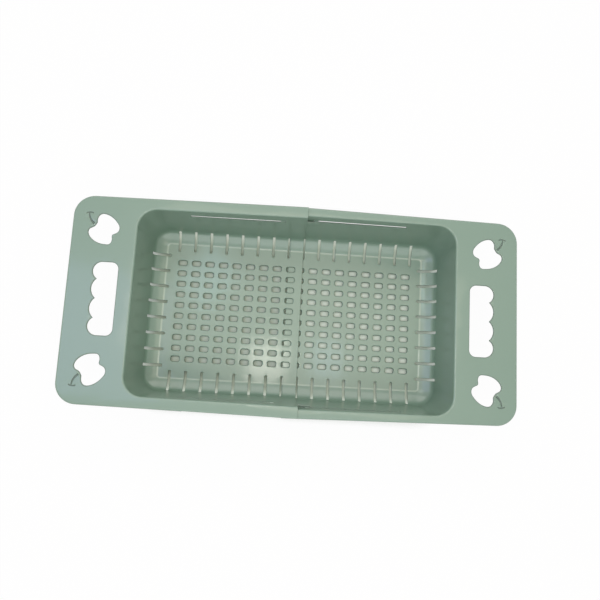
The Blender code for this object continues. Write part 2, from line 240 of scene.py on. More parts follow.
# %% The columns
CORNER_STEPS = 12
PLACE_DIGITS = 6


def column_at(kind, value):
    """A column, with its place rounded to a micrometre so that it is found again."""
    return kind, round(value, PLACE_DIGITS)


def corner_columns():
    return [("corner", math.pi / 2 * (1 - i / CORNER_STEPS)) for i in range(CORNER_STEPS + 1)]


def slot_edges(centre):
    """The four columns of a slot: its sides, and where its chamfered end begins."""
    low, high = SLOT_SIDES
    return [centre + a for a in (low, low + SLOT_CHAMFER, high - SLOT_CHAMFER, high)]


def basket_columns():
    along = [OPEN_X, TRACK_START, TRACK_START + TRACK_CHAMFER,
             TRACK_STOP - TRACK_CHAMFER, TRACK_STOP]
    along += [edge for x in SIDE_SLOTS for edge in slot_edges(x)]
    across = [0] + [edge for y in END_SLOTS for edge in slot_edges(y)]
    sides = sorted({column_at("side", x) for x in along})
    ends = sorted({column_at("end", y) for y in across}, reverse=True)
    return sides + corner_columns() + ends


def place(row, column):
    """The point where a column meets a row."""
    end, tip_half, corner_half, radius, z = row
    kind, value = column
    start = end - radius
    if kind == "side":
        half = tip_half + (corner_half - tip_half) * (value - TIP_X) / (start - TIP_X)
        return Vector((value, half, z))
    if kind == "corner":
        return Vector((start + radius * math.cos(value),
                       corner_half - radius + radius * math.sin(value), z))
    return Vector((end, value, z))


print(len(basket_columns()), "columns from the open end to the middle of the end wall")

# %% [markdown]
# ## Growing the sheet with extrude
#
# A first chain of edges is drawn along the floor, and extrude_edge_only copies it from row to
# row. Extrude also copies a vertex's custom values, so a number that says which column a vertex
# is in survives, and each new vertex finds its own place.

# %% Extrude a strip, draw a chain and fill a level
def strip(bm, columns, rows):
    """A strip of quads over the rows. Gives its vertices as a list of rows."""
    number = bm.verts.layers.int.get("column") or bm.verts.layers.int.new("column")
    grid = [[bm.verts.new(place(rows[0], column)) for column in columns]]
    for i, vert in enumerate(grid[0]):
        vert[number] = i
    edges = [bm.edges.new(pair) for pair in zip(grid[0], grid[0][1:])]
    for row in rows[1:]:
        grown = bmesh.ops.extrude_edge_only(bm, edges=edges)["geom"]
        fresh = {v[number]: v for v in grown if isinstance(v, bmesh.types.BMVert)}
        for i, vert in fresh.items():
            vert.co = place(row, columns[i])
        grid.append([fresh[i] for i in range(len(columns))])
        edges = [bm.edges.get(pair) for pair in zip(grid[-1], grid[-1][1:])]
    return grid


def chain(bm, points, first=None, last=None, closed=False):
    """Edges through the points, from and to given vertices where they are named."""
    verts = [bm.verts.new(p) for p in points]
    verts = ([first] if first else []) + verts + ([last] if last else [])
    pairs = list(zip(verts, verts[1:])) + ([(verts[-1], verts[0])] if closed else [])
    for pair in pairs:
        bm.edges.new(pair)


def fill_level(bm, z):
    """Fills what the edges at one height enclose, and leaves the outlines inside it open."""
    level = [e for e in bm.edges if all(abs(v.co.z - z) < SAME_HEIGHT for v in e.verts)]
    bmesh.ops.triangle_fill(bm, use_beauty=True, use_dissolve=False, edges=level,
                            normal=(0, 0, 1))


# %% [markdown]
# ## Slots, travel slots and tongues
#
# The faces inside a slot are deleted, and the corners at its upper end are pulled down a
# little, which chamfers it as a mould's cutter does. The travel slot near the rim is a long gap
# between two rows. The tongue that runs in the other tray's travel slot is one more extrusion,
# from the open end.

# %% Open the slots in the wall
def in_slot(side, centre):
    """Whether a point of the wall lies inside a slot."""
    rise = centre.z - FLOOR_TOP[side]
    on_end = centre.x > FLOOR_END and rise < END_SLOT_RISE
    on_side = centre.y > FLOOR_HALF and rise < SIDE_SLOT_RISE
    in_track = TRACK_START < centre.x < TRACK_STOP and TRACK_LOW < centre.z < TRACK_HIGH
    return (in_track or on_end and any(abs(centre.y - y) < SLOT_WIDTH / 2 for y in END_SLOTS)
            or on_side and any(abs(centre.x - x) < SLOT_WIDTH / 2 for x in SIDE_SLOTS))


def row_at(grid, z):
    """The number of the row whose first vertex is at a height."""
    return min(range(len(grid)), key=lambda i: abs(grid[i][0].co.z - z))


def chamfer_slots(grid, columns, kind, places, z):
    """Pulls the upper corners of the slots towards the row below."""
    row = row_at(grid, z)
    for edge in (centre + a for centre in places for a in SLOT_SIDES):
        i = columns.index(column_at(kind, edge))
        upper, lower = grid[row][i].co, grid[row - 1][i].co
        grid[row][i].co = upper.lerp(lower, SLOT_CHAMFER / (upper - lower).length)


def open_slots(bm, grid, side, columns):
    """Deletes the faces inside the slots and the track, and chamfers their ends."""
    gone = [f for f in bm.faces if in_slot(side, f.calc_center_median())]
    bmesh.ops.delete(bm, geom=gone, context="FACES")
    floor = FLOOR_TOP[side]
    chamfer_slots(grid, columns, "side", SIDE_SLOTS, floor + SIDE_SLOT_RISE)
    chamfer_slots(grid, columns, "end", END_SLOTS, floor + END_SLOT_RISE)
    low, high = row_at(grid, TRACK_LOW), row_at(grid, TRACK_HIGH)
    for x in (TRACK_START, TRACK_STOP):
        i = columns.index(column_at("side", x))
        bottom, top = grid[low][i].co.copy(), grid[high][i].co.copy()
        grid[low][i].co = bottom.lerp(top, TRACK_CHAMFER / TRACK_HEIGHT)
        grid[high][i].co = top.lerp(bottom, TRACK_CHAMFER / TRACK_HEIGHT)


def add_tongue(bm, grid, side):
    """Widens the open end between the two track rows to the tongue's height, and extrudes it."""
    low, high = row_at(grid, TRACK_LOW), row_at(grid, TRACK_HIGH)
    rows = {low: wall_row(side, TRACK_Z - TONGUE_HEIGHT / 2),
            high: wall_row(side, TRACK_Z + TONGUE_HEIGHT / 2)}
    for i, row in rows.items():
        grid[i][0].co = place(row, ("side", OPEN_X))
    root = bm.edges.get((grid[low][0], grid[high][0]))
    grown = bmesh.ops.extrude_edge_only(bm, edges=[root])["geom"]
    for vert in (v for v in grown if isinstance(v, bmesh.types.BMVert)):
        row = min(rows.values(), key=lambda r: abs(r[-1] - vert.co.z))
        vert.co = place(row, ("side", TIP_X))


# %% [markdown]
# ## The outlines in the floor and in the handle plate
#
# Flat faces are filled last. Everything that must stay open is drawn first as a closed chain of
# edges: the drain holes, the notches where the slots reach into the floor, the finger hole with
# its scallops and the apple-shaped cut-outs. The fill then goes round them.

# %% Outlines
GRIP_CENTRE, GRIP_LENGTH, GRIP_WIDTH = END_X - 39.2 * MM, 77 * MM, 25.9 * MM
GRIP_CORNER, SCALLOP_DEPTH, SCALLOP_END_RADIUS = 7 * MM, 4.8 * MM, 9.6 * MM
APPLE_CENTRE = Vector((END_X - 33.4 * MM, RIM_HALF_END - 35.7 * MM))
# The apple's outline in millimetres about its middle. The stem leaves it at the upper right.
APPLE = [(14, 0), (10.6, 1.9), (8.8, 4.2), (7.6, 6.8), (7.6, 9.6), (7, 12.4), (5.3, 14.9),
         (2.6, 16.1), (-1, 15.8), (-5.2, 14.2), (-9.4, 11.3), (-13, 7.5), (-15.3, 3.9),
         (-15.7, 0.3), (-14.4, -2.6), (-11.9, -4.3), (-9.3, -5.6), (-8.5, -7.8), (-8.9, -11),
         (-8.1, -14.4), (-6, -16.2), (-2.7, -16.4), (2.8, -15.8), (8, -13.9), (12.4, -10.7),
         (15.2, -7), (16, -3.9), (15.4, -1.5)]
NOTCH_ROUND = 1.1 * MM
GRIP_STEPS, APPLE_STEPS, HOLE_STEPS, NOTCH_STEPS = 8, 3, 4, 3


def arc(centre, radius, start, end, steps):
    """Points along an arc, its two ends among them. Angles are in degrees."""
    angles = [math.radians(start + (end - start) * i / steps) for i in range(steps + 1)]
    return [(centre[0] + radius * math.cos(a), centre[1] + radius * math.sin(a)) for a in angles]


def smooth_loop(points, steps):
    """A closed smooth curve through the points. Its slope at each follows its two neighbours."""
    padded = [Vector(p) for p in (points[-1], *points, *points[:2])]
    curve = []
    for p, q, r, s in zip(padded, padded[1:], padded[2:], padded[3:]):
        for t in (i / steps for i in range(steps)):
            curve.append(0.5 * (2 * q + t * (r - p) + t * t * (2 * p - 5 * q + 4 * r - s)
                                + t ** 3 * (3 * q - p - 3 * r + s)))
    return curve


def drain_hole(x, y):
    """The rounded outline of a drain hole about its middle."""
    points = []
    for quarter, (sx, sy) in enumerate(((1, 1), (-1, 1), (-1, -1), (1, -1))):
        centre = (x + sx * (HOLE_LENGTH / 2 - HOLE_ROUND), y + sy * (HOLE_WIDTH / 2 - HOLE_ROUND))
        points += arc(centre, HOLE_ROUND, 90 * quarter, 90 * quarter + 90, HOLE_STEPS)
    return points


def half_grip():
    """The +Y half of the finger hole, from its outer cusp round to its straight inner side."""
    inner, outer = GRIP_CENTRE - GRIP_WIDTH / 2, GRIP_CENTRE + GRIP_WIDTH / 2
    half = GRIP_LENGTH / 2
    end = (outer - SCALLOP_END_RADIUS, half - SCALLOP_END_RADIUS)
    turn = math.acos(1 - SCALLOP_DEPTH / SCALLOP_END_RADIUS)
    cusp_y = end[1] - SCALLOP_END_RADIUS * math.sin(turn)
    radius = ((cusp_y / 2) ** 2 + SCALLOP_DEPTH ** 2) / (2 * SCALLOP_DEPTH)
    spread = math.degrees(math.asin(cusp_y / 2 / radius))
    return (arc((outer - radius, cusp_y / 2), radius, -spread, spread, GRIP_STEPS)[:-1]
            + arc(end, SCALLOP_END_RADIUS, -math.degrees(turn), 90, 2 * GRIP_STEPS)
            + arc((inner + GRIP_CORNER, half - GRIP_CORNER), GRIP_CORNER, 90, 180, GRIP_STEPS)
            + [(inner, 0)])


def on_plate(points):
    """Points drawn about an apple's middle, in millimetres, at their place on the plate."""
    return [APPLE_CENTRE + Vector(p) * MM for p in points]


def apple():
    return on_plate(smooth_loop(APPLE, APPLE_STEPS))


def notch(reach, centre, depth):
    """How a slot ends on the floor: in by its depth, round two corners and out again."""
    half, radius = SLOT_WIDTH / 2, NOTCH_ROUND
    deep = reach - depth
    return (arc((deep + radius, centre - half + radius), radius, 270, 180, NOTCH_STEPS)
            + arc((deep + radius, centre + half - radius), radius, 180, 90, NOTCH_STEPS))


print(len(apple()), "points round an apple,", len(half_grip()), "round half the finger hole")

# %% [markdown]
# ## One half of a tray
#
# The floor, the wall and the rim are now put together as a sheet without thickness. The rim's
# outer edge is a second strip, rounded over and turned down into a lip.
#
# The inner tray has no lip where its rim slides over the other tray's rim. Its edge ends there
# at the turn where its underside still clears the other rim, which is worked out from the step
# between the trays, so that the rims don't touch when the trays are pushed together.

# %% The rim, and where its lip is left off
RELIEF_MARGIN = 5 * MM
RELIEF_END = -OPEN_X + TRAVEL + RELIEF_MARGIN
RIM_CLEARANCE = 0.1 * MM
RELIEF_TURN = math.acos((RIM_ROUND - NEST_STEP + RIM_CLEARANCE) / (RIM_ROUND - WALL))
RIM_TURNS = [0, math.radians(22), math.radians(42), RELIEF_TURN, math.pi / 2]
print(f"the relieved rim ends at a turn of {math.degrees(RELIEF_TURN):.0f} degrees,",
      f"{RELIEF_END / MM:.1f} mm from the middle of the drainer")


def rim_row(inset, z):
    return (END_X - inset, RIM_HALF_MIDDLE - inset, RIM_HALF_END - inset, RIM_CORNER - inset, z)


def rim_rows(side):
    rows = [rim_row(*rounded_edge(side, turn)) for turn in RIM_TURNS]
    return rows + [rim_row(0, RIM_TOP[side] - LIP)]


def relieve_lip(bm, side):
    """Leaves the inner tray's lip off along the stretch that slides over the outer tray."""
    limit = rounded_edge(side, RELIEF_TURN)[1]
    centres = [(f, f.calc_center_median()) for f in bm.faces]
    gone = [f for f, centre in centres if centre.y > RIM_HALF_END - RIM_ROUND
            and centre.x < RELIEF_END and centre.z < limit]
    bmesh.ops.delete(bm, geom=gone, context="FACES")


# %% Fill the floor and the plate
def floor_face(bm, grid, side, columns):
    """Draws what stays open in the floor, closes its outline and fills it."""
    z = FLOOR_TOP[side]
    first = {column: vert for column, vert in zip(columns, grid[0]) if vert.is_valid}
    for x in SIDE_SLOTS:
        path = [Vector((a, b, z)) for b, a in notch(FLOOR_HALF, x, SIDE_SLOT_ON_FLOOR)]
        chain(bm, path, *(first[column_at("side", x + a)] for a in SLOT_SIDES))
    for y in END_SLOTS:
        path = [Vector((a, b, z)) for a, b in notch(FLOOR_END, y, END_SLOT_ON_FLOOR)]
        chain(bm, path, *(first[column_at("end", y + a)] for a in SLOT_SIDES))
    for x, y in HOLES:
        chain(bm, [Vector((*p, z)) for p in drain_hole(x, y)], closed=True)
    chain(bm, [Vector((OPEN_X, 0, z))], grid[0][-1], grid[0][0])
    fill_level(bm, z)


def plate_face(bm, mouth, rim, side):
    """Draws the finger hole and the apple between the mouth and the rim, and fills round them."""
    z = RIM_TOP[side]
    grip = [Vector((*p, z)) for p in half_grip()]
    chain(bm, grip[::-1], mouth[-1], rim[-1])
    bm.edges.new((mouth[0], rim[0]))
    chain(bm, [Vector((*p, z)) for p in apple()], closed=True)
    fill_level(bm, z)


# %% One half, then the whole sheet
def half_sheet(side):
    bm = bmesh.new()
    columns = basket_columns()
    wall = strip(bm, columns, basket_rows(side))
    open_slots(bm, wall, side, columns)
    add_tongue(bm, wall, side)
    rim_columns = [("side", OPEN_X), ("side", RELIEF_END)] + corner_columns() + [("end", 0)]
    rim = strip(bm, rim_columns, rim_rows(side))
    if side == INNER:
        relieve_lip(bm, side)
    floor_face(bm, wall, side, columns)
    plate_face(bm, wall[-1], rim[0], side)
    return bm


def whole_sheet(side):
    """Both halves as one sheet, on the tray's own side, with its faces up."""
    bm = half_sheet(side)
    everything = bm.verts[:] + bm.edges[:] + bm.faces[:]
    bmesh.ops.mirror(bm, geom=everything, axis="Y", merge_dist=SAME_PLACE)
    bmesh.ops.scale(bm, vec=(side, 1, 1), verts=bm.verts)
    bmesh.ops.remove_doubles(bm, verts=bm.verts, dist=SAME_PLACE)
    bmesh.ops.recalc_face_normals(bm, faces=bm.faces)
    floor = max(bm.faces, key=lambda f: f.calc_area())
    if floor.normal.z < 0:
        bmesh.ops.reverse_faces(bm, faces=bm.faces)
    return bm


# %% [markdown]
# ## From a sheet to a moulded tray
#
# Solidify gives the sheet its wall thickness. The feet and the hooks are joined on with a
# Boolean union, and a Bevel then rounds every edge, as a mould's edges are rounded. The
# modifiers could stay live, but mesh code works in between them, so each is applied at once.

# %% Hold a mesh, apply its modifiers and combine it with another
def add_object(name, bm):
    mesh = bpy.data.meshes.new(name)
    bm.to_mesh(mesh)
    bm.free()
    obj = bpy.data.objects.new(name, mesh)
    bpy.context.scene.collection.objects.link(obj)
    return obj


def apply_modifiers(obj):
    """Keeps the evaluated mesh and removes the modifiers that made it."""
    bpy.context.view_layer.update()
    graph = bpy.context.evaluated_depsgraph_get()
    mesh = bpy.data.meshes.new_from_object(obj.evaluated_get(graph))
    obj.modifiers.clear()
    obj.data = mesh


def combine(obj, operation, bm):
    """A Boolean with a helper mesh, applied at once."""
    tool = add_object(obj.name + "_tool", bm)
    modifier = obj.modifiers.new(operation.lower(), "BOOLEAN")
    modifier.operation = operation
    modifier.solver = "EXACT"
    modifier.object = tool
    apply_modifiers(obj)
    bpy.data.objects.remove(tool)


# %% [markdown]
# The drain holes narrow a little towards the bottom, so that the mould's pins come out, and
# the upper edges of the drain holes, the finger holes and the apples have a rounding of their
# own. Shade is painted along cut edges: their colour is darkened where little light gets in.
# A number on each face, the attribute cut, says how much of that painted shade it gets: 1
# along the open edges of the sheet, less on the roundings because they are wide, and more in
# the engraved grooves.

# %% Draft, round and mark the openings
EDGE_ANGLE = math.radians(50)
HOLE_ROUNDING, PLATE_ROUNDING, ROUNDING_STEPS = 0.5 * MM, 1.0 * MM, 3
# How much painted shade the hole roundings, the plate roundings and the engraved grooves get.
HOLE_EDGE_PAINTED_SHADE, PLATE_EDGE_PAINTED_SHADE, GROOVE_PAINTED_SHADE = 0.25, 0.8, 1.4


def mark_painted_edge_shade(mesh, sheet_faces):
    """Marks the faces along every open edge for painted shade. Solidify adds them after the two
    skins.
    """
    mark = mesh.attributes.new("cut", "FLOAT", "FACE")
    shares = [float(i >= 2 * sheet_faces) for i in range(len(mesh.polygons))]
    mark.data.foreach_set("value", shares)


def draft_holes(bm, side):
    """Narrows the drain holes towards their lower edge."""
    low = [v for v in bm.verts if abs(v.co.z - FLOOR_TOP[side] + WALL) < SAME_PLACE]
    squeeze = (1 - 2 * HOLE_DRAFT / HOLE_LENGTH, 1 - 2 * HOLE_DRAFT / HOLE_WIDTH, 1)
    for x, y in HOLES:
        for centre in (Vector((side * x, y, 0)), Vector((side * x, -y, 0))):
            ring = [v for v in low if abs(v.co.x - centre.x) < HOLE_LENGTH / 2 + SAME_PLACE
                    and abs(v.co.y - centre.y) < HOLE_WIDTH / 2 + SAME_PLACE]
            bmesh.ops.scale(bm, vec=squeeze, space=Matrix.Translation(-centre), verts=ring)


def round_openings(bm, side):
    """Rounds the upper edge of the drain holes, the finger hole and the apples, and marks it for
    painted shade.
    """
    cut = bm.faces.layers.float["cut"]
    floor = (FLOOR_TOP[side], OPEN_X + SAME_PLACE, FLOOR_END - END_SLOT_MARGIN,
             FLOOR_HALF - SIDE_SLOT_ON_FLOOR - SAME_PLACE, HOLE_ROUNDING, HOLE_EDGE_PAINTED_SHADE)
    plate = (RIM_TOP[side], MOUTH_END + LIP, END_X - LIP,
             FLOOR_HALF + SIDE_LEAN, PLATE_ROUNDING, PLATE_EDGE_PAINTED_SHADE)
    for z, near, far, half, width, share in (floor, plate):
        edges = [e for e in bm.edges if e.calc_face_angle(0) > EDGE_ANGLE and
                 all(abs(v.co.z - z) < SAME_PLACE and near < side * v.co.x < far
                     and abs(v.co.y) < half for v in e.verts)]
        made = bmesh.ops.bevel(bm, geom=edges, offset=width, segments=ROUNDING_STEPS,
                               profile=0.5, affect="EDGES", clamp_overlap=False, material=-1)
        for face in made["faces"]:
            face[cut] = share


def finish_openings(obj, side):
    bm = bmesh.new()
    bm.from_mesh(obj.data)
    draft_holes(bm, side)
    round_openings(bm, side)
    bm.to_mesh(obj.data)
    bm.free()


# %% [markdown]
# The feet are low round studs. The outer tray has two pairs, and the inner one a single pair at
# its handle end, because its other end lies over the outer tray. A hook sits at the end of
# each tongue and reaches through the other tray's travel slot.

# %% Hooks and feet
FOOT_RADIUS, FOOT_SEGMENTS = 4 * MM, 32
FOOT_Y = FLOOR_HALF - 13.1 * MM
FOOT_NEAR_X, FOOT_FAR_X = OPEN_X + 36.5 * MM, FLOOR_END - 15 * MM


def add_block(bm, low, high):
    size = [b - a for a, b in zip(low, high)]
    middle = [(a + b) / 2 for a, b in zip(low, high)]
    where = Matrix.Translation(middle) @ Matrix.Diagonal((*size, 1))
    bmesh.ops.create_cube(bm, size=1, matrix=where)


def hooks_and_feet(side):
    bm = bmesh.new()
    own = place(wall_row(side, TRACK_Z), ("side", TIP_X)).y + WALL / 2
    other = place(wall_row(-side, TRACK_Z), ("side", -TIP_X)).y
    reach = other + WALL + HOOK_PROUD if side == INNER else other - HOOK_PROUD
    for sign in (1, -1):
        low, high = sorted((sign * own, sign * reach))
        add_block(bm, (TIP_X + HOOK_SETBACK, low, TRACK_Z - HOOK_HEIGHT / 2),
                  (TIP_X + HOOK_LENGTH, high, TRACK_Z + HOOK_HEIGHT / 2))
    height = FLOOR_TOP[side] - WALL / 2
    for x in (FOOT_NEAR_X, FOOT_FAR_X) if side == OUTER else (FOOT_FAR_X,):
        for y in (FOOT_Y, -FOOT_Y):
            bmesh.ops.create_cone(bm, cap_ends=True, segments=FOOT_SEGMENTS,
                                  radius1=FOOT_RADIUS, radius2=FOOT_RADIUS, depth=height,
                                  matrix=Matrix.Translation((x, y, height / 2)))
    bmesh.ops.scale(bm, vec=(side, 1, 1), verts=bm.verts)
    bmesh.ops.recalc_face_normals(bm, faces=bm.faces)
    return bm


# %% The finished trays
EDGE_ROUND, EDGE_STEPS = 0.4 * MM, 2


def tray(side):
    obj = add_object(NODE[side] + "_moulding", whole_sheet(side))
    sheet_faces = len(obj.data.polygons)
    print(obj.name, "starts as a sheet of", sheet_faces, "faces")
    wall = obj.modifiers.new("wall", "SOLIDIFY")
    wall.thickness = WALL
    wall.offset = -1
    wall.use_even_offset = True
    apply_modifiers(obj)
    mark_painted_edge_shade(obj.data, sheet_faces)
    finish_openings(obj, side)
    combine(obj, "UNION", hooks_and_feet(side))
    bevel = obj.modifiers.new("edges", "BEVEL")
    bevel.width = EDGE_ROUND
    bevel.segments = EDGE_STEPS
    bevel.limit_method = "ANGLE"
    bevel.angle_limit = EDGE_ANGLE
    bevel.use_clamp_overlap = False
    apply_modifiers(obj)
    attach(obj, NODE[side])
    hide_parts(NODE[side])
    return obj


trays = {side: tray(side) for side in (OUTER, INNER)}
for obj in trays.values():
    print(obj.name, len(obj.data.polygons), "faces")

# %% [markdown]
# ## Engraved stems and ejector marks
#
# Each apple has a stem with a short bar at its end, engraved in the plate. A round-nosed cutter
# would leave such a groove, so the tool here is a curve with a round bevel, sunk into the plate
# almost up to its middle and taken away with a Boolean. The mould's ejector pins leave two
# shallow round marks on the inner tray's floor.

# %% Engrave
# Each point is x and y in millimetres about the apple's middle, and the tool's radius there.
STEM = [(10.6, 5.0, 1.15), (13.4, 7.6, 1.1), (15.4, 10.8, 0.95), (16.5, 14.4, 0.8),
        (16.6, 16.6, 0.7)]
STEM_BAR = [(12.2, 16.0, 0.6), (13.3, 16.9, 0.7), (16.2, 17.0, 0.75), (18.8, 16.4, 0.7),
            (19.7, 15.3, 0.6)]
ENGRAVING_LIFT, ENGRAVING_STEPS = 0.1 * MM, 3
PIN_MARKS = [(16.3 * MM, -66.7 * MM), (76.8 * MM, -66.5 * MM)]
PIN_RADIUS, PIN_DEPTH, PIN_SEGMENTS = 5 * MM, 0.15 * MM, 48
FLAT_FACE_WEIGHT = 80


def groove_tool(name, side, path):
    """A round-nosed tool along a path of (x, y, radius), for the apples at both corners."""
    curve = bpy.data.curves.new(name, "CURVE")
    curve.dimensions, curve.bevel_depth = "3D", MM
    curve.bevel_resolution, curve.use_fill_caps = ENGRAVING_STEPS, True
    for sign in (1, -1):
        spline = curve.splines.new("POLY")
        spline.points.add(len(path) - 1)
        for point, (x, y, radius) in zip(spline.points, path):
            at = on_plate([(x, y)])[0]
            point.co = (side * at.x, sign * at.y, RIM_TOP[side] + ENGRAVING_LIFT, 1)
            point.radius = radius
    holder = bpy.data.objects.new(name, curve)
    bpy.context.scene.collection.objects.link(holder)
    bm = bmesh.new()
    bm.from_mesh(bpy.data.meshes.new_from_object(holder))
    bpy.data.objects.remove(holder)
    bmesh.ops.remove_doubles(bm, verts=bm.verts, dist=SAME_PLACE)
    bmesh.ops.recalc_face_normals(bm, faces=bm.faces)
    # The groove's faces get the strongest painted shade, which darkens the engraving.
    cut = bm.faces.layers.float.new("cut")
    for face in bm.faces:
        face[cut] = GROOVE_PAINTED_SHADE
    return bm


def pin_marks():
    """Two shallow dishes, half sunk into the inner tray's floor."""
    bm = bmesh.new()
    for x, y in PIN_MARKS:
        bmesh.ops.create_cone(bm, cap_ends=True, segments=PIN_SEGMENTS,
                              radius1=PIN_RADIUS - PIN_DEPTH, radius2=PIN_RADIUS,
                              depth=2 * PIN_DEPTH,
                              matrix=Matrix.Translation((INNER * x, y, FLOOR_TOP[INNER])))
    return bm


for side, obj in trays.items():
    for part, path in (("stem", STEM), ("bar", STEM_BAR)):
        combine(obj, "DIFFERENCE", groove_tool(obj.name + "_" + part, side, path))
combine(trays[INNER], "DIFFERENCE", pin_marks())
for obj in trays.values():
    obj.data.shade_smooth()
    weighted = obj.modifiers.new("normals", "WEIGHTED_NORMAL")
    weighted.weight = FLAT_FACE_WEIGHT
    weighted.keep_sharp = True
    marked = sum(1 for mark in obj.data.attributes["cut"].data if mark.value > 0)
    print(obj.name, len(obj.data.polygons), "faces,", marked, "of them on cut edges")

# %% [markdown]
# ## Satin polypropylene
#
# The plastic is one dyed polypropylene. Up close it isn't one flat colour: the melt leaves a
# faint marbling, the mould a fine grain, and the walls a few streaks where they were drawn out
# of the mould. Shade is painted darker along the cut edges and in the engraving, and a
# highlight is painted as a paler line along the crease round the floor. A painted image could
# hold all this, but nodes stay sharp from near by and need no unwrapping. Each effect is a node
# group, so both trays use the same ones, and all of them read the tray's own coordinates or
# faces, so the patterns travel with it. The satin gloss is a rough base under a thin, smoother
# coat.

# %% Helpers for node trees
def add_node(tree, kind, values=None, feeds=None):
    """A new node with plain values and with links, both by the names of its inputs."""
    node = tree.nodes.new("ShaderNode" + kind)
    for label, value in (values or {}).items():
        node.inputs[label].default_value = value
    for label, output in (feeds or {}).items():
        tree.links.new(output, node.inputs[label])
    return node


def math_node(tree, operation, a, b):
    """A Math node. Each of a and b is a number or another node's output."""
    node = tree.nodes.new("ShaderNodeMath")
    node.operation = operation
    for socket, value in zip(node.inputs, (a, b)):
        if isinstance(value, (int, float)):
            socket.default_value = value
        else:
            tree.links.new(value, socket)
    return node.outputs[0]


def blend(tree, mask, under, over):
    """A mix of two colours, plain or linked. Where the mask is 1, the second one shows."""
    mix = tree.nodes.new("ShaderNodeMix")
    mix.data_type = "RGBA"
    tree.links.new(mask, mix.inputs["Factor"])
    for label, colour in (("A", under), ("B", over)):
        if isinstance(colour, tuple):
            mix.inputs[label].default_value = colour
        else:
            tree.links.new(colour, mix.inputs[label])
    return mix.outputs["Result"]


def new_group(name, inputs, output):
    """An empty node group with float inputs, which have default values, and one float output."""
    group = bpy.data.node_groups.new(name, "ShaderNodeTree")
    for label, value in inputs.items():
        socket = group.interface.new_socket(label, in_out="INPUT", socket_type="NodeSocketFloat")
        socket.default_value = value
    group.interface.new_socket(output, in_out="OUTPUT", socket_type="NodeSocketFloat")
    return group, group.nodes.new("NodeGroupInput"), group.nodes.new("NodeGroupOutput")


def noise(tree, scale, detail=2.0, stretch=(1, 1, 1)):
    """A noise in the piece's own coordinates, stretched along an axis by a factor under 1."""
    coordinates = add_node(tree, "TexCoord")
    mapping = add_node(tree, "Mapping", {"Scale": stretch},
                       {"Vector": coordinates.outputs["Object"]})
    texture = add_node(tree, "TexNoise", {"Scale": scale, "Detail": detail},
                       {"Vector": mapping.outputs["Vector"]})
    return texture.outputs["Fac"]


# %% Marbling and grain
MELT_SCALE, MELT_DETAIL = 9, 3
SWIRL_SCALE, SWIRL_STRETCH, SWIRL_SHARE = 45, (1, 1, 0.4), 0.3
GRAIN_SCALE, WAVE_SCALE = 1500, 330
STREAK_SCALE, STREAK_DETAIL, STREAK_STRETCH = 420, 1, 0.02
STREAK_FACING = (0.02, 0.12)


def marbling_group():
    """A mask that drifts slowly about 0.5, for slight shifts of colour."""
    group, given, out = new_group("melt_marbling", {"Amount": 0.5}, "Mask")
    broad = math_node(group, "MULTIPLY", noise(group, MELT_SCALE, MELT_DETAIL), 1 - SWIRL_SHARE)
    swirl = noise(group, SWIRL_SCALE, stretch=SWIRL_STRETCH)
    both = math_node(group, "ADD", broad, math_node(group, "MULTIPLY", swirl, SWIRL_SHARE))
    drift = math_node(group, "SUBTRACT", both, 0.5)
    drift = math_node(group, "MULTIPLY", drift, given.outputs["Amount"])
    group.links.new(math_node(group, "ADD", drift, 0.5), out.inputs["Mask"])
    return group


def streaks_along(group, axis, stretch):
    """Draw streaks on the faces that look along an axis, where they vary across it only."""
    streaks = noise(group, STREAK_SCALE, STREAK_DETAIL, stretch)
    coordinates = add_node(group, "TexCoord")
    split = add_node(group, "SeparateXYZ", feeds={"Vector": coordinates.outputs["Normal"]})
    facing = math_node(group, "MULTIPLY", split.outputs[axis], split.outputs[axis])
    low, high = STREAK_FACING
    share = add_node(group, "MapRange", {"From Min": low, "From Max": high}, {"Value": facing})
    return math_node(group, "MULTIPLY", streaks, share.outputs["Result"])


def grain_group():
    """The height of the mould's grain, of slow waves in the skin and of the draw streaks."""
    group, given, out = new_group("mould_grain", {"Grain": 1.0, "Waves": 1.0, "Streaks": 1.0},
                                  "Height")
    fine = math_node(group, "MULTIPLY", noise(group, GRAIN_SCALE), given.outputs["Grain"])
    waves = math_node(group, "MULTIPLY", noise(group, WAVE_SCALE), given.outputs["Waves"])
    streaks = math_node(group, "ADD",
                        streaks_along(group, "X", (STREAK_STRETCH, 1, STREAK_STRETCH)),
                        streaks_along(group, "Y", (1, STREAK_STRETCH, STREAK_STRETCH)))
    streaks = math_node(group, "MULTIPLY", streaks, given.outputs["Streaks"])
    height = math_node(group, "ADD", math_node(group, "ADD", fine, waves), streaks)
    group.links.new(height, out.inputs["Height"])
    return group


marbling, grain = marbling_group(), grain_group()
print("node groups", marbling.name, "and", grain.name)

# %% Painted shade on cut edges, painted highlight on the crease
# Where the painted highlight along the crease lies, and how wide it is.
CREASE_HIGHLIGHT_MIDDLE, CREASE_HIGHLIGHT_HALF_WIDTH = 0.9 * MM, 1.5 * MM


def painted_edge_shade_group():
    """A mask of painted shade along the cut edges, where less light gets in: the colour is darkened
    there.
    """
    group, given, out = new_group("painted_edge_shade", {"Amount": 1.0}, "Mask")
    cut = add_node(group, "Attribute")
    cut.attribute_name = "cut"
    mask = math_node(group, "MULTIPLY", cut.outputs["Fac"], given.outputs["Amount"])
    group.links.new(mask, out.inputs["Mask"])
    return group


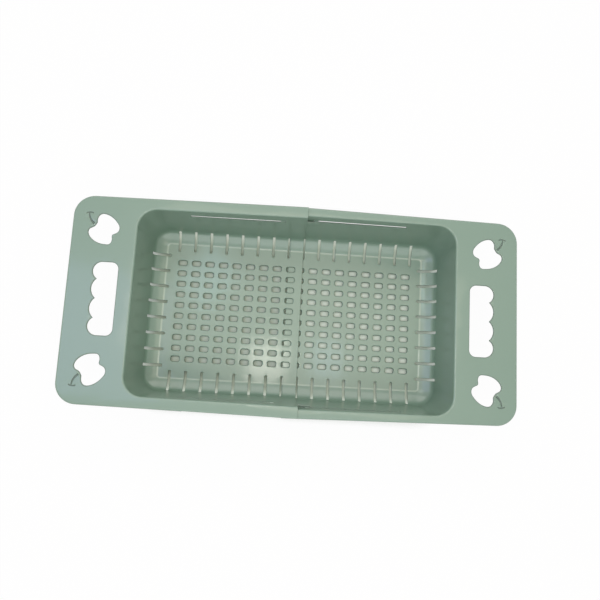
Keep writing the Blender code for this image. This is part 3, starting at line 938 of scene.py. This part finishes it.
def crease_highlight_group():
    """A mask for a painted highlight along the crease round the floor, which follows the floor's
    rounded corners.
    """
    group, given, out = new_group(
        "painted_crease_highlight", {"Side": 1.0, "End": 0.1, "Half": 0.1, "Amount": 1.0}, "Mask")
    coordinates = add_node(group, "TexCoord")
    split = add_node(group, "SeparateXYZ", feeds={"Vector": coordinates.outputs["Object"]})
    along = math_node(group, "MULTIPLY", split.outputs["X"], given.outputs["Side"])
    across = math_node(group, "ABSOLUTE", split.outputs["Y"], 0)
    past_corner = {}
    for axis, distance, edge in (("X", along, "End"), ("Y", across, "Half")):
        past = math_node(group, "SUBTRACT", distance, given.outputs[edge])
        past = math_node(group, "ADD", past, FLOOR_CORNER)
        past_corner[axis] = math_node(group, "MAXIMUM", past, 0)
    corner = add_node(group, "CombineXYZ", feeds=past_corner)
    reach = add_node(group, "VectorMath", feeds={0: corner.outputs["Vector"]})
    reach.operation = "LENGTH"
    off = math_node(group, "SUBTRACT", reach.outputs["Value"], FLOOR_CORNER + CREASE_HIGHLIGHT_MIDDLE)
    off = math_node(group, "DIVIDE", math_node(group, "ABSOLUTE", off, 0), CREASE_HIGHLIGHT_HALF_WIDTH)
    mask = math_node(group, "MAXIMUM", math_node(group, "SUBTRACT", 1, off), 0)
    mask = math_node(group, "MULTIPLY", mask, given.outputs["Amount"])
    group.links.new(mask, out.inputs["Mask"])
    return group


painted_edge_shade, crease = painted_edge_shade_group(), crease_highlight_group()
print("node groups", painted_edge_shade.name, "and", crease.name)

# %% The plastic
SAGE_LIGHT = (0.246, 0.368, 0.288, 1)
SAGE_DEEP = (0.213, 0.333, 0.256, 1)
# Painted shade for the cut edges and the engraving, and a painted highlight for the crease.
SAGE_PAINTED_SHADE = (0.09, 0.14, 0.11, 1)
SAGE_PAINTED_HIGHLIGHT = (0.48, 0.6, 0.5, 1)
MARBLING_AMOUNT, CREASE_HIGHLIGHT_AMOUNT, EDGE_SHADE_AMOUNT = 1.0, 0.75, 0.6
SURFACE = {"Grain": 0.04, "Waves": 0.12, "Streaks": 0.35}
SURFACE_HEIGHT = 0.1 * MM
ROUGHNESS, ROUGHNESS_DRIFT = 0.36, 0.04
GLOSS = {"Specular IOR Level": 0.5, "Coat Weight": 0.7, "Coat Roughness": 0.1}


def place_group(tree, group, values):
    """Places a node group with its own values. Gives its output."""
    node = tree.nodes.new("ShaderNodeGroup")
    node.node_tree = group
    for label, value in values.items():
        node.inputs[label].default_value = value
    return node.outputs[0]


def plastic_material(name, side):
    material = bpy.data.materials.new(name)
    material.use_nodes = True
    tree = material.node_tree
    shader = tree.nodes["Principled BSDF"]
    for label, value in GLOSS.items():
        shader.inputs[label].default_value = value
    tint = place_group(tree, marbling, {"Amount": MARBLING_AMOUNT})
    # A painted highlight along the crease and painted shade along the cut edges are mixed into the
    # colour.
    line = place_group(tree, crease, {"Side": side, "End": FLOOR_END, "Half": FLOOR_HALF,
                                      "Amount": CREASE_HIGHLIGHT_AMOUNT})
    edges = place_group(tree, painted_edge_shade, {"Amount": EDGE_SHADE_AMOUNT})
    colour = blend(tree, tint, SAGE_DEEP, SAGE_LIGHT)
    colour = blend(tree, line, colour, SAGE_PAINTED_HIGHLIGHT)
    colour = blend(tree, edges, colour, SAGE_PAINTED_SHADE)
    rough = add_node(tree, "MapRange", {"To Min": ROUGHNESS - ROUGHNESS_DRIFT,
                                        "To Max": ROUGHNESS + ROUGHNESS_DRIFT}, {"Value": tint})
    bump = add_node(tree, "Bump", {"Strength": 1.0, "Distance": SURFACE_HEIGHT},
                    {"Height": place_group(tree, grain, SURFACE)})
    for label, output in (("Base Color", colour), ("Roughness", rough.outputs["Result"]),
                          ("Normal", bump.outputs["Normal"])):
        tree.links.new(output, shader.inputs[label])
    return material


for side, obj in trays.items():
    obj.data.materials.clear()
    obj.data.materials.append(plastic_material(NODE[side] + "_plastic", side))
    print(obj.name, "is made of", obj.data.materials[0].name)

# %% [markdown]
# ## Floor, light and camera
#
# The floor is white. The camera sees it brighter than the lamps alone make it, so that the
# background is white as in a product photograph. Ambient occlusion gives the share of open sky
# over each point of the floor. Where the trays stand close over it, that share is small: the
# lift is taken away, so their shadow stays, and the floor's colour is painted a darker green
# there as painted shade under the trays.

# %% The floor
FLOOR_SIZE, FLOOR_ROUGHNESS = 6.0, 0.9
FLOOR_WHITE = (0.95, 0.95, 0.95, 1)
# Painted shade: the floor's darker green colour close under the trays.
FLOOR_PAINTED_SHADE = (0.74, 0.85, 0.73, 1)
FLOOR_LIFT = 0.96
SHADE_REACH, SHADE_START, SHADE_FALL, SHADE_SAMPLES = 30 * MM, 0.62, 1.5, 4


def seen_directly(tree):
    """1 for rays from the camera or off a glossy or clear surface, and 0 for those that light."""
    path = add_node(tree, "LightPath")
    seen = math_node(tree, "MAXIMUM", path.outputs["Is Camera Ray"], path.outputs["Is Glossy Ray"])
    return math_node(tree, "MAXIMUM", seen, path.outputs["Is Transmission Ray"])


def mix_shaders(tree, share, first, second):
    """Goes from the first shader to the second as the share goes from 0 to 1."""
    return add_node(tree, "MixShader", feeds={0: share, 1: first, 2: second}).outputs["Shader"]


def floor_material():
    material = bpy.data.materials.new("studio_floor")
    material.use_nodes = True
    tree = material.node_tree
    open_sky = add_node(tree, "AmbientOcclusion", {"Distance": SHADE_REACH})
    open_sky.samples = SHADE_SAMPLES
    share = add_node(tree, "MapRange", {"From Min": SHADE_START},
                     {"Value": open_sky.outputs["AO"]})
    fade = math_node(tree, "POWER", share.outputs["Result"], SHADE_FALL)
    plain = tree.nodes["Principled BSDF"]
    plain.inputs["Roughness"].default_value = FLOOR_ROUGHNESS
    # Under the trays the floor's colour turns to the painted shade.
    tree.links.new(blend(tree, fade, FLOOR_PAINTED_SHADE, FLOOR_WHITE), plain.inputs["Base Color"])
    white = add_node(tree, "Emission", {"Strength": 1.0})
    lift = math_node(tree, "MULTIPLY", seen_directly(tree), FLOOR_LIFT)
    lift = math_node(tree, "MULTIPLY", lift, fade)
    surface = mix_shaders(tree, lift, plain.outputs["BSDF"], white.outputs["Emission"])
    tree.links.new(surface, tree.nodes["Material Output"].inputs["Surface"])
    return material


floor_mesh = bmesh.new()
bmesh.ops.create_grid(floor_mesh, x_segments=1, y_segments=1, size=FLOOR_SIZE / 2)
studio_floor = add_object("studio_floor", floor_mesh)
studio_floor.data.materials.append(floor_material())
studio_floor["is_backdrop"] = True
print("a floor of", FLOOR_SIZE, "m, at z =", studio_floor.data.vertices[0].co.z)

# %% [markdown]
# The lamps are large soft panels: a warm one overhead, one behind, one in front, and a cool
# one at the window side. Three small ones give the floor of the trays its glow and its cooler
# patches. The world adds an even light from all round, and the camera sees it as a white
# backdrop.

# %% Lamps and the world
LAMP_AIM = Vector((0, 0, 0.04))
# Each lamp is its place, its width and depth, its power in watts and its colour.
LAMPS = {
    "ceiling_panel": ((0.045, 0.155, 1.5), (1.12, 0.62), 3.5, (1, 0.85, 0.68)),
    "back_softbox": ((0.03, 0.95, 1.2), (1.2, 0.5), 3.9, (1, 0.92, 0.9)),
    "front_softbox": ((0.03, -0.75, 1.3), (1.2, 0.6), 4.3, (0.97, 0.98, 0.97)),
    "window_side": ((-0.85, 0.05, 1.5), (0.5, 0.9), 2.8, (0.5, 0.55, 1)),
    "window_panel": ((-0.29, 0.285, 1.5), (0.2, 0.16), 0.3, (0.45, 0.8, 1)),
    "skylight": ((0.19, 0, 1.5), (0.14, 0.12), 0.2, (0.6, 0.75, 1)),
    "ceiling_bulb": ((-0.05, -0.01, 1.8), (0.16, 0.16), 0.8, (1, 0.94, 0.86)),
}
AMBIENT = {"Color": (1, 0.93, 0.91, 1), "Strength": 0.49}
BACKDROP = {"Color": (1, 0.99, 0.98, 1), "Strength": 0.96}


def area_lamp(name, lamp_place, size, power, colour):
    data = bpy.data.lights.new(name, "AREA")
    data.shape = "RECTANGLE"
    data.size, data.size_y = size
    data.energy = power
    data.color = colour
    lamp = bpy.data.objects.new(name, data)
    bpy.context.scene.collection.objects.link(lamp)
    lamp.location = lamp_place
    lamp.rotation_euler = (LAMP_AIM - Vector(lamp_place)).to_track_quat("-Z", "Y").to_euler()


def studio_world():
    world = bpy.data.worlds.new("studio")
    world.use_nodes = True
    tree = world.node_tree
    ambient, backdrop = tree.nodes["Background"], add_node(tree, "Background", BACKDROP)
    for label, value in AMBIENT.items():
        ambient.inputs[label].default_value = value
    surface = mix_shaders(tree, seen_directly(tree), ambient.outputs["Background"],
                          backdrop.outputs["Background"])
    tree.links.new(surface, tree.nodes["World Output"].inputs["Surface"])
    return world


for name, facts in LAMPS.items():
    area_lamp(name, *facts)
bpy.context.scene.world = studio_world()
bpy.context.scene.view_settings.view_transform = "Standard"
print(len(LAMPS), "lamps with", round(sum(facts[2] for facts in LAMPS.values()), 1), "W in all")

# %% [markdown]
# The camera looks down on the pulled-out drainer from a little over half a metre, as a hand-held
# one does. Its place, its turn and its lens were found by fitting the straight rims and the rows
# of holes to the picture.

# %% The camera
CAMERA_PLACE = Vector((-0.0207, -0.06791, 0.65977))
CAMERA_TURNS = (-0.132256, 0.050753, -0.054453)
CAMERA_LENS, CAMERA_SENSOR = 33.193, 36.0

tilt, roll, swing = (Matrix.Rotation(turn, 3, axis) for turn, axis in zip(CAMERA_TURNS, "XYZ"))
world_to_camera = tilt @ roll @ swing
camera_data = bpy.data.cameras.new("camera")
camera_data.lens, camera_data.sensor_width = CAMERA_LENS, CAMERA_SENSOR
camera = bpy.data.objects.new("camera", camera_data)
bpy.context.scene.collection.objects.link(camera)
camera.matrix_world = Matrix.Translation(CAMERA_PLACE) @ world_to_camera.transposed().to_4x4()
bpy.context.scene.camera = camera
print("camera at", [round(c, 3) for c in CAMERA_PLACE], "lens", CAMERA_LENS)

# %% [markdown]
# ## Compare the two boxes and finish
#
# The dressed model must keep to the CAD model's box, so both boxes are written down.

# %% Write the sizes and finish
visual_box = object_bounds()
for low_high, cad, visual in zip(("low", "high"), cad_box, visual_box):
    print(low_high, [round(c / MM, 2) for c in cad], [round(c / MM, 2) for c in visual])
